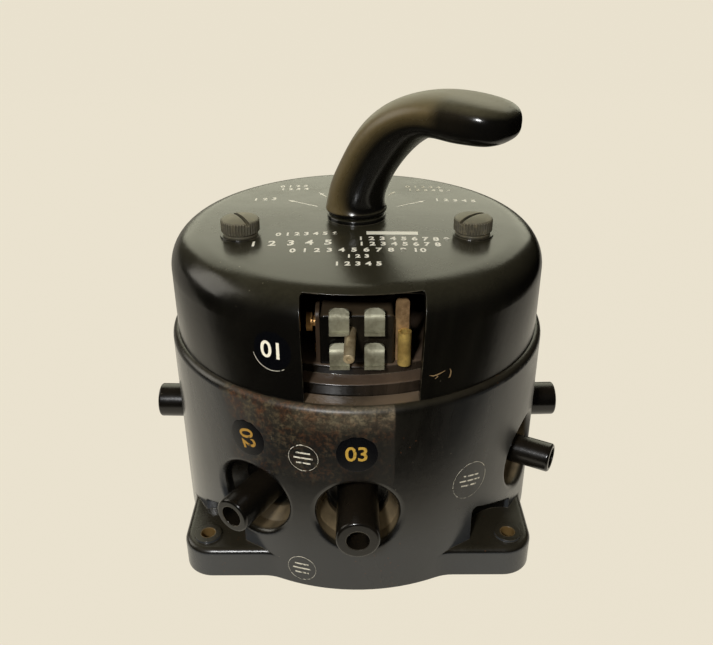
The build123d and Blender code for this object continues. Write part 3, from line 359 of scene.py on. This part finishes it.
def case_finish():
    """The base moulding, with dusty portholes and holes and the stained patch at the front."""
    f, amount, facts = phenolic("case phenolic", top_dust=0.22, wall_dust=0.05, gloss=0.17, dust=OLIVE_DUST,
                                ior=1.56)
    x, y, z = f.axes()
    azimuth = f.math("ARCTAN2", x, f.times(y, -1.0))
    radius = f.length(x, y)
    base = f.mix(amount, facts["body"], facts["dust"])
    # Greyer towards the foot, with a painted reflection on the sides of the outer wall.
    base = f.mix(grey_and_reflection_mask(f, facts["mottle"], azimuth, radius, z), base, GREY_AND_PAINTED_REFLECTION)
    grime = f.step(f.noise(55.0, 5.0, 0.6), 0.3, 0.62)
    cup = cup_mask(f, grime, azimuth, radius, z)
    base = f.mix(cup, base, TAN_DUST)
    ledge = f.times(f.step(f.up(), 0.6, 0.9), f.step(z, *LEDGE_Z))
    ledge = f.times(ledge, f.step(radius, *LEDGE_OUTER))
    base = f.mix(f.times(ledge, f.blend(grime, 0.3, 0.75)), base, LEDGE_DUST)
    from_hole_x = f.math("SUBTRACT", f.absolute(x), HOLE_AT)
    from_hole_y = f.math("SUBTRACT", f.absolute(y), HOLE_AT)
    from_hole = f.length(from_hole_x, from_hole_y)
    base = f.mix(f.step(from_hole, *HOLE_WALL), base, HOLE_TAN)
    patch = patch_mask(f, azimuth, radius, y, z)
    base = stained(f, base, patch, azimuth, z)
    rust = f.times(f.spots(420.0, 0.16, (1.0, 1.3, 1.1)), f.step(f.noise(48.0, 3.0), 0.54, 0.62))
    base = f.mix(f.times(rust, 0.5), base, RUST)
    amount = f.plus(amount, f.plus(f.times(cup, 0.8), f.times(patch, 0.45)))
    return close_phenolic(f, amount, facts, base, haze=0.16)


def cover_finish():
    """The cover moulding: a dusty olive top that rubs to black over the shoulder."""
    f, amount, facts = phenolic("cover phenolic", top_dust=0.16, wall_dust=0.02, gloss=0.15, ior=1.44)
    return close_phenolic(f, amount, facts, haze=0.10)


GRIP_END = (40.0 * MM, 47.0 * MM)     # the grip's end, where no painted light is put on its front, starts between these distances


def handle_finish():
    """The grip, black, with painted light in a warm olive above, where it faces up and to the left, and none
    below or on the front of its end.
    """
    f, amount, facts = phenolic("handle phenolic", top_dust=0.42, wall_dust=0.0, gloss=0.18)
    # Painted light: the grip is painted a warm olive where it faces up and to the left, towards the
    # softboxes.
    lit = f.step(f.facing((-0.66, -0.04, 0.74)), 0.20, 0.78)
    lightened = f.times(lit, f.blend(facts["mottle"], 0.75, 1.1))
    lightened = f.times(lightened, f.blend(f.step(f.noise(420.0, 4.0, 0.7), 0.3, 0.7), 0.85, 1.0))
    x, y = f.axes()[:2]
    far_out = f.step(f.length(x, y), *GRIP_END)
    # No painted light on the front of the grip's end, which stays black as painted shade.
    end = f.times(far_out, f.step(f.facing((-0.5, -0.75, 0.0)), -0.1, 0.35))
    lightened = f.times(lightened, f.math("SUBTRACT", 1.0, f.times(end, 0.9)))
    base = f.mix(lightened, facts["body"], PAINTED_LIGHT_OLIVE)
    base = f.mix(amount, base, facts["dust"])
    return close_phenolic(f, f.plus(amount, f.times(lightened, 0.35)), facts, base)


def tube_finish():
    f, amount, facts = phenolic("tube phenolic", top_dust=0.06, wall_dust=0.04, gloss=0.14, dust=BROWN_DUST)
    return close_phenolic(f, amount, facts, wear=0.9)


def deck_finish():
    f, amount, facts = phenolic("deck phenolic", top_dust=0.66, wall_dust=0.18, gloss=0.12, body=WARM_BLACK,
                                dust=DECK_DUST)
    return close_phenolic(f, amount, facts, wear=0.9)


def block_finish():
    f, amount, facts = phenolic("block phenolic", top_dust=0.5, wall_dust=0.16, gloss=0.14, dust=BROWN_DUST)
    return close_phenolic(f, amount, facts, wear=0.9)


def sheet_finish():
    """Laminated phenolic sheet, duller than the mouldings."""
    f, amount, facts = phenolic("laminate", top_dust=0.3, wall_dust=0.1, gloss=0.4, body=LAMINATE,
                                dust=BROWN_DUST)
    return close_phenolic(f, amount, facts)


def metal(name, bright, tarnish, rough, amount=0.5, grain=(1.0, 1.0, 1.0), metallic=0.5):
    """Bare or plated metal with patches of tarnish and fine tool marks."""
    f = Finish(name)
    patches = f.step(f.noise(150.0, 5.0, 0.65), 0.5 - amount * 0.35, 0.75 - amount * 0.2)
    colour = f.mix(patches, bright, tarnish)
    marks = f.noise(900.0, 3.0, 0.6, stretch=grain)
    sheen = f.blend(patches, rough, min(rough + 0.25, 0.9))
    sheen = f.blend(f.step(marks, 0.35, 0.65), sheen, f.math("ADD", sheen, 0.08))
    return f.finish(colour, sheen, f.bump(marks, 0.00004, 0.5), metallic=metallic)


def knurl_finish():
    """Blackened brass with the plating rubbed thin and dust in the knurls."""
    f = Finish("blackened brass")
    worn = f.step(f.noise(260.0, 5.0, 0.65), 0.48, 0.72)
    dusty = f.times(f.step(f.up(), 0.4, 0.95), f.blend(f.noise(120.0, 4.0), 0.5, 1.0))
    colour = f.mix(worn, rgb(88, 84, 72), rgb(140, 130, 104))
    colour = f.mix(f.times(dusty, 0.8), colour, rgb(138, 132, 110))
    edge_normal, edge = f.rounded(0.2 * MM)
    colour = f.mix(f.times(edge, 0.5), colour, rgb(176, 166, 136))
    rough = f.blend(dusty, 0.38, 0.6)
    return f.finish(colour, rough, f.bump(f.noise(800.0, 3.0), 0.00003, 0.5, under=edge_normal), metallic=0.2)


def wire_finish():
    f = Finish("varnished sleeving")
    weave = f.noise(1500.0, 2.0, 0.5)
    return f.finish(f.mix(weave, rgb(70, 58, 38), rgb(110, 92, 60)), f.blend(weave, 0.45, 0.6),
                    f.bump(weave, 0.0001, 0.6))


def worn_paint(name, paint, under, keep, rough=0.55, scale=420.0):
    """A thin coat of paint that has flaked to what lies under it; keep is the share that stays."""
    f = Finish(name)
    flakes = f.noise(scale, 5.0, 0.7)
    gone = f.step(flakes, keep - 0.04, keep + 0.04)
    colour = f.mix(gone, paint, under)
    return f.finish(colour, f.blend(gone, rough, 0.35), f.bump(flakes, 0.00003, 0.4))


finishes = {
    "case_moulding": case_finish(),
    "cover_moulding": cover_finish(),
    "deck_moulding": deck_finish(),
    "plate_sheet": sheet_finish(),
    "handle_moulding": handle_finish(),
    "sleeve_moulding": tube_finish(),
    "block_moulding": block_finish(),
    "blackened_brass": knurl_finish(),
    "brass": metal("brass", rgb(232, 200, 116), rgb(160, 132, 72), 0.36, 0.6),
    "nickel": metal("nickel", rgb(166, 164, 142), rgb(118, 114, 94), 0.36, 0.35, grain=(1.0, 1.0, 0.1)),
    "spring_bronze": metal("spring bronze", rgb(190, 140, 84), rgb(128, 92, 56), 0.32, 0.4),
    "steel": metal("steel", rgb(170, 168, 160), rgb(110, 102, 90), 0.3, 0.4),
    "insulated_wire": wire_finish(),
}
for row in frame["record"]["subparts"]:
    cad_piece = nodes[row["node"]]
    cad_piece.data.materials.clear()
    cad_piece.data.materials.append(finishes[row["material_slot"]])
gold_brass = metal("gold brass", rgb(226, 176, 112), rgb(168, 124, 72), 0.30, 0.3, metallic=0.6)
for name in ("terminal_screw", "cheek_screws"):
    nodes[name].data.materials[0] = gold_brass
pale_nickel = metal("pale nickel", rgb(200, 184, 150), rgb(138, 118, 88), 0.4, 0.5)
nodes["test_pin"].data.materials[0] = pale_nickel
copper_strip = metal("copper strip", rgb(196, 162, 118), rgb(130, 102, 70), 0.32, 0.5)
nodes["brass_strip"].data.materials[0] = copper_strip


# Marks on the mouldings: engraved figures, arrows, discs and worn stamps

DOME_CURVE = DOME_RISE / DOME_R ** 2
MARK_SINK = 0.05 * MM     # how far a mark's body reaches into the surface
PAINT_T = 0.06 * MM       # how far paint and paper stand proud
CAP_SHARE = 0.7           # height of a figure as a share of the font's size
WALL_WEIGHT = 0.12 * MM   # how far the figures are thickened, on the walls and on the cover's top
TOP_WEIGHT = 0.14 * MM


def dome_point(x, y, h):
    """A point above the cover's domed top."""
    return Vector((x, y, DOME_EDGE_Z + DOME_RISE - DOME_CURVE * (x * x + y * y) + h))


def on_dome(x=0.0, y=0.0):
    """Carries flat points to a place on the cover's top."""
    def carry(p):
        return dome_point(x + p[0], y + p[1], p[2])
    return carry


def on_wall(azimuth, z, radius, turn=0.0):
    """Carries flat points to a place on a round wall, turned by degrees."""
    c, s = math.cos(math.radians(turn)), math.sin(math.radians(turn))

    def carry(p):
        along = c * p[0] - s * p[1]
        return polar(azimuth + math.degrees(along / radius), radius + p[2], z + s * p[0] + c * p[1])
    return carry


def figure_mesh(text, height, weight, spacing=1.0):
    """Plain figures as a mesh, centred, their caps of a given height."""
    curve = bpy.data.curves.new("figures", "FONT")
    curve.body = text
    curve.size = height / CAP_SHARE
    curve.offset = weight
    curve.extrude = (PAINT_T + MARK_SINK) / 2
    curve.space_character = spacing
    curve.align_x = "CENTER"
    curve.align_y = "CENTER"
    holder = bpy.data.objects.new("figures", curve)
    bpy.context.scene.collection.objects.link(holder)
    bpy.context.view_layer.update()
    mesh = bpy.data.meshes.new_from_object(holder.evaluated_get(bpy.context.evaluated_depsgraph_get()))
    bpy.data.objects.remove(holder)
    return mesh


def place_mesh(name, mesh, carry, material, lift=0.0):
    for vertex in mesh.vertices:
        p = vertex.co
        vertex.co = carry((p.x, p.y, p.z + (PAINT_T - MARK_SINK) / 2 + lift))
    mesh.materials.clear()
    mesh.materials.append(material)
    for face in mesh.polygons:
        face.use_smooth = False
    piece = bpy.data.objects.new(name, mesh)
    bpy.context.scene.collection.objects.link(piece)
    return piece


def strip_mesh(points, width):
    """A thin flat bar along a line of flat points; width is a number or one for each point."""
    widths = width if isinstance(width, list) else [width] * len(points)
    verts, faces = [], []
    for i, p in enumerate(points):
        before = points[max(i - 1, 0)]
        after = points[min(i + 1, len(points) - 1)]
        along = (Vector(after) - Vector(before)).normalized()
        side = Vector((-along.y, along.x)) * widths[i] / 2
        for sign in (-1, 1):
            for h in (-MARK_SINK, PAINT_T):
                verts.append((p[0] + sign * side.x, p[1] + sign * side.y, h - (PAINT_T - MARK_SINK) / 2))
    for i in range(len(points) - 1):
        a, b = 4 * i, 4 * i + 4
        faces += [(a + 1, b + 1, b + 3, a + 3), (a, a + 2, b + 2, b)]
        faces += [(a, b, b + 1, a + 1), (a + 2, a + 3, b + 3, b + 2)]
    last = 4 * (len(points) - 1)
    faces += [(0, 1, 3, 2), (last, last + 2, last + 3, last + 1)]
    mesh = bpy.data.meshes.new("strip")
    mesh.from_pydata(verts, [], faces)
    mesh.update()
    return mesh


def disc_mesh(radius, inner=0.0, rings=8, sectors=64):
    """A flat disc or ring with enough rings to bend round a wall."""
    verts, faces = [], []
    for ring in range(rings + 1):
        r = inner + (radius - inner) * ring / rings
        height = (PAINT_T - MARK_SINK) / 2 if ring < rings else -MARK_SINK
        for k in range(sectors):
            a = 2 * math.pi * k / sectors
            verts.append((r * math.cos(a), r * math.sin(a), height))
    for ring in range(rings):
        for k in range(sectors):
            a, b = ring * sectors + k, ring * sectors + (k + 1) % sectors
            faces.append((a, a + sectors, b + sectors, b))
    mesh = bpy.data.meshes.new("disc")
    mesh.from_pydata(verts, [], faces)
    mesh.update()
    return mesh


def join_marks(name, pieces):
    """Makes one piece of several marks and lets it ride on the case."""
    whole = bmesh.new()
    for piece in pieces:
        whole.from_mesh(piece.data)
    mesh = bpy.data.meshes.new(name)
    whole.to_mesh(mesh)
    whole.free()
    mesh.materials.append(pieces[0].data.materials[0])
    made = bpy.data.objects.new(name, mesh)
    bpy.context.scene.collection.objects.link(made)
    for piece in pieces:
        bpy.data.objects.remove(piece)
    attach(made, "case")
    return made


cream_fill = worn_paint("engraving fill", rgb(250, 246, 232), rgb(110, 104, 86), 0.66)
disc_paper = worn_paint("black disc", rgb(8, 9, 13), rgb(26, 23, 20), 0.76, rough=0.2)
cream_print = worn_paint("cream print", rgb(250, 245, 228), rgb(90, 84, 70), 0.70)
gold_print = worn_paint("gold print", rgb(196, 158, 62), rgb(70, 56, 30), 0.62)
faded_gold = worn_paint("faded gold print", rgb(176, 134, 52), rgb(70, 54, 28), 0.60)
scuff_tan = worn_paint("scuff", rgb(150, 124, 88), rgb(52, 42, 30), 0.60, scale=700.0)
stamp_ink = worn_paint("stamp ink", rgb(226, 222, 208), rgb(58, 56, 50), 0.56, scale=700.0)

# Figures on the cover's top: text, cap height, centre x, centre y, letter spacing
TOP_FIGURES = [
    ("1 2 3", 3.2, -40.0, 24.4, 1.1),
    ("0 1 2 3", 2.8, -28.5, 43.6, 1.1),
    ("1 2 3 4", 2.8, -28.0, 38.6, 1.1),
    ("0 1 2 3 4", 2.8, 30.5, 41.6, 1.1),
    ("1 2 3 4 5 6", 2.8, 33.0, 36.4, 1.1),
    ("1 2 3 4 5", 3.0, 43.0, 22.0, 1.15),
    ("0 1 2 3 4 5 6", 2.9, -19.5, -19.5, 1.1),
    ("1 2 3 4 5", 4.4, -25.0, -28.4, 1.35),
    ("1 2 3 4 5 6 7 8 9", 3.2, 18.0, -24.9, 1.12),
    ("1 2 3 4 5 6 7 8", 3.2, 16.2, -30.0, 1.12),
    ("0 1 2 3 4 5 6 7 8 9 10", 3.2, 0.4, -35.6, 1.22),
    ("1 2 3", 2.6, 0.4, -41.2, 1.1),
    ("1 2 3 4 5", 3.0, 0.4, -47.6, 1.1),
]
marks = []
for text, height, x, y, spacing in TOP_FIGURES:
    mesh = figure_mesh(text, height * MM, TOP_WEIGHT, spacing)
    marks.append(place_mesh("figures", mesh, on_dome(x * MM, y * MM), cream_fill))


ARROW_HEAD = 3.0 * MM
ARROW_SHAFT_W = 0.5 * MM
ARROW_HEAD_W = 1.9 * MM
ARROW_TIP_W = 0.1 * MM


def arrow(tail, tip):
    """A tapering engraved line with a filled head."""
    tail, tip = Vector(tail) * MM, Vector(tip) * MM
    along = (tip - tail).normalized()
    shaft_end = tip - along * ARROW_HEAD
    points = [tail + (shaft_end - tail) * k / 6 for k in range(7)] + [shaft_end, tip]
    widths = [ARROW_SHAFT_W] * 7 + [ARROW_HEAD_W, ARROW_TIP_W]
    return strip_mesh([tuple(p) for p in points], widths)


# Tail and tip of each arrow round the handle
ARROWS = [((-16.5, 12.2), (-29.7, 21.9)), ((17.3, 11.8), (29.7, 20.3)),
          ((-13.3, 25.8), (-16.6, 32.1)), ((14.0, 27.1), (17.3, 33.4)), ((0.0, 27.0), (0.0, 33.5))]
for tail, tip in ARROWS:
    marks.append(place_mesh("arrow", arrow(tail, tip), on_dome(), cream_fill))
bar = strip_mesh([((3.8 + 2.0 * k) * MM, -19.2 * MM) for k in range(11)], 3.2 * MM)
marks.append(place_mesh("bar", bar, on_dome(), cream_fill))
join_marks("top_engraving", marks)


def label_disc(name, azimuth, z, wall_r, radius, text, height, ink, turn=0.0, slot="case_moulding"):
    """A round paper disc stuck to a wall, with a plain number on it."""
    carry = on_wall(azimuth, z * MM, wall_r, turn)
    join_marks(name + "_disc", [place_mesh("disc", disc_mesh(radius * MM), carry, disc_paper)])
    figures = place_mesh("number", figure_mesh(text, height * MM, WALL_WEIGHT), carry, ink, lift=PAINT_T)
    join_marks(name + "_number", [figures])


# Each disc has its name, azimuth, height, wall radius, own radius, number, cap height and ink.
# The window's disc has a pale worn arc along its edge.
WINDOW_LABEL_AT = (-22.8, 104.0)
ARC_R = 7.85
label_disc("window_label", *WINDOW_LABEL_AT, COVER_R, 8.0, "01", 6.4, cream_print, slot="cover_moulding")
arc_angles = [math.radians(a) for a in range(196, 306, 6)]
arc = strip_mesh([(ARC_R * MM * math.cos(a), ARC_R * MM * math.sin(a)) for a in arc_angles], 0.16 * MM)
arc_carry = on_wall(WINDOW_LABEL_AT[0], WINDOW_LABEL_AT[1] * MM, COVER_R)
arc_mark = place_mesh("arc", arc, arc_carry, stamp_ink, lift=PAINT_T)
join_marks("window_label_edge", [arc_mark])
label_disc("front_label", -0.2, 65.9, BASE_R, 8.4, "03", 6.0, gold_print)
label_disc("left_label", -31.5, 65.2, BASE_R, 8.4, "02", 6.0, faded_gold, turn=-75.0)


STAMP_RING_W = 0.45
STAMP_LINE_W = 0.6
STAMP_LINES = ((2.2, 0.45), (0.0, 0.6), (-2.2, 0.45))     # height, half length as a share of the radius


def stamp(name, azimuth, z, radius, turn=0.0):
    """A worn ring stamped in white, with plain ruled lines across it."""
    carry = on_wall(azimuth, z * MM, BASE_R, turn)
    inner = (radius - STAMP_RING_W) * MM
    ring = place_mesh("ring", disc_mesh(radius * MM, inner, rings=1), carry, stamp_ink)
    lines = []
    for height, half in STAMP_LINES:
        points = [((k / 4.0) * radius * half * MM, height * MM) for k in range(-4, 5)]
        lines.append(place_mesh("line", strip_mesh(points, STAMP_LINE_W * MM), carry, stamp_ink))
    join_marks(name, [ring] + lines)


stamp("upper_stamp", -14.6, 62.7, 6.0)
stamp("foot_stamp", -16.4, 8.5, 6.2)
stamp("side_stamp", 33.4, 44.0, 8.5, turn=-12.0)

# Short pale scratches on the cover's wall, beside the window
SCUFF_AT = (22.0, 94.3)              # azimuth and height
SCUFF_W = 0.42 * MM
SCUFF_END_W = 0.12 * MM
SCUFF_STROKES = [[(-3.6, 0.6), (-2.0, 0.1), (0.0, 0.4), (2.6, 1.2)],
                 [(-1.0, 0.4), (-0.4, -0.6), (-1.4, -1.3)],
                 [(4.4, 1.6), (5.0, 0.2), (4.6, -1.8), (4.0, -2.0)]]
scuff_carry = on_wall(SCUFF_AT[0], SCUFF_AT[1] * MM, COVER_R)
scuffs = []
for stroke in SCUFF_STROKES:
    widths = [SCUFF_END_W] + [SCUFF_W] * (len(stroke) - 2) + [SCUFF_END_W]
    mesh = strip_mesh([(x * MM, y * MM) for x, y in stroke], widths)
    scuffs.append(place_mesh("stroke", mesh, scuff_carry, scuff_tan))
join_marks("cover_scuff", scuffs)


# The handle's creases are softened as the hand has worn them

def soften(piece, voxel, repeats):
    """Rounds a piece's creases: a fine even skin, smoothed a few times."""
    remesh = piece.modifiers.new("worn skin", "REMESH")
    remesh.mode = "VOXEL"
    remesh.voxel_size = voxel
    remesh.use_smooth_shade = True
    smooth = piece.modifiers.new("worn edges", "SMOOTH")
    smooth.factor = 0.5
    smooth.iterations = repeats


soften(nodes["handle"], voxel=0.35 * MM, repeats=5)


# Studio

PAPER = rgb(234, 226, 207)
FLOOR_HALF = 8.0
FLOOR_Z = -0.0002
FLOOR_SHOWN = 0.99        # share of the paper's own colour that the camera sees under the shadows
FLOOR_GLOSS = 0.95        # how bright the paper is in reflections
PAPER_EDGE_Y = -0.150     # the paper ends here in reflections: the room in front of it is dim
PAPER_EDGE_SLOPE = 0.48   # and its edge falls back to both sides
PAPER_EDGE_SOFT = 0.026
PAPER_RIGHT = 0.31        # the paper ends here on the right in reflections
PAPER_FADE = (0.16, 0.30)   # the paper dims in reflections between these distances from the part
PAPER_FAR = 0.45          # to this share
ROOM_DIFFUSE = 0.25       # how bright the room is as light on the part
ROOM_GLOSS = 0.012        # and in reflections
LIT_POINT = Vector((0.0, 0.0, 0.13))


def scaled(tree, value, factor):
    made = tree.nodes.new("ShaderNodeMath")
    made.operation = "MULTIPLY"
    tree.links.new(value, made.inputs[0])
    made.inputs[1].default_value = factor
    return made.outputs[0]


def added(tree, a, b):
    made = tree.nodes.new("ShaderNodeMath")
    made.operation = "ADD"
    for socket, value in zip(made.inputs, (a, b)):
        if isinstance(value, bpy.types.NodeSocket):
            tree.links.new(value, socket)
        else:
            socket.default_value = value
    return made.outputs[0]


def paper_finish():
    """Matt paper: its own colour shows to the camera under the shadows, and in reflections."""
    f = Finish("paper floor")
    f.finish(PAPER, 0.9)
    f.shader.inputs["Specular IOR Level"].default_value = 0.0
    x, y = f.axes()[:2]
    edge = f.math("SUBTRACT", y, f.times(f.absolute(x), PAPER_EDGE_SLOPE))
    near = f.step(edge, PAPER_EDGE_Y - PAPER_EDGE_SOFT, PAPER_EDGE_Y + PAPER_EDGE_SOFT)
    near = f.times(near, f.step(x, PAPER_RIGHT + PAPER_EDGE_SOFT, PAPER_RIGHT - PAPER_EDGE_SOFT))
    near = f.times(near, f.blend(f.step(f.length(x, y), *PAPER_FADE), 1.0, PAPER_FAR))
    path = f.node("ShaderNodeLightPath")
    shown = f.times(path.outputs["Is Camera Ray"], FLOOR_SHOWN)
    share = f.math("ADD", shown, path.outputs["Is Glossy Ray"])
    glow = f.node("ShaderNodeEmission")
    glow.inputs["Color"].default_value = PAPER
    mirrored = f.times(f.times(path.outputs["Is Glossy Ray"], near), FLOOR_GLOSS)
    f.feed(glow.inputs["Strength"], f.math("ADD", path.outputs["Is Camera Ray"], mirrored))
    mixer = f.node("ShaderNodeMixShader")
    f.feed(mixer.inputs[0], share)
    f.feed(mixer.inputs[1], f.shader.outputs[0])
    f.feed(mixer.inputs[2], glow.outputs[0])
    f.feed(f.tree.nodes["Material Output"].inputs["Surface"], mixer.outputs[0])
    return f.material


corners = [(sx * FLOOR_HALF, sy * FLOOR_HALF, FLOOR_Z) for sx, sy in ((-1, -1), (1, -1), (1, 1), (-1, 1))]
floor = new_mesh("floor", corners, [(0, 1, 2, 3)])
floor.data.materials.append(paper_finish())


def softbox(name, place, size, power, colour=(1.0, 1.0, 1.0)):
    data = bpy.data.lights.new(name, "AREA")
    data.shape = "RECTANGLE"
    data.size, data.size_y = size
    data.energy = power
    data.color = colour
    made = bpy.data.objects.new(name, data)
    made.location = place
    made.rotation_euler = (LIT_POINT - Vector(place)).to_track_quat("-Z", "Y").to_euler()
    made.visible_camera = False
    bpy.context.scene.collection.objects.link(made)


softbox("back softbox", (0.0, 0.75, 0.50), (1.3, 0.7), 4.7, (1.0, 0.985, 0.76))
softbox("left softbox", (-0.85, 0.15, 0.50), (0.5, 0.5), 2.0, (1.0, 0.95, 0.84))
softbox("front lamp", (-0.17, -0.60, 0.50), (0.08, 0.08), 3.0)

world = bpy.data.worlds.new("studio room")
bpy.context.scene.world = world
world.use_nodes = True
room = world.node_tree
room_light = room.nodes["Background"]
room_light.inputs["Color"].default_value = PAPER
room_path = room.nodes.new("ShaderNodeLightPath")
room_seen = scaled(room, room_path.outputs["Is Camera Ray"], 1.0 - ROOM_DIFFUSE)
room_mirrored = scaled(room, room_path.outputs["Is Glossy Ray"], ROOM_GLOSS - ROOM_DIFFUSE)
room_strength = added(room, added(room, room_seen, room_mirrored), ROOM_DIFFUSE)
room.links.new(room_strength, room_light.inputs["Strength"])

camera = bpy.data.objects.new("camera", bpy.data.cameras.new("camera"))
camera.data.sensor_fit = "HORIZONTAL"
camera.data.sensor_width = SENSOR_MM
camera.data.lens = FOCAL_PX / IMAGE_W * SENSOR_MM
camera.data.clip_start = 0.01
camera.location = CAMERA_AT
aim = (LOOKS_AT - CAMERA_AT).to_track_quat("-Z", "Y").to_matrix().to_4x4()
camera.rotation_euler = (aim @ Matrix.Rotation(CAMERA_ROLL, 4, "Z")).to_euler()
bpy.context.scene.collection.objects.link(camera)
bpy.context.scene.camera = camera
bpy.context.scene.view_settings.view_transform = "Standard"
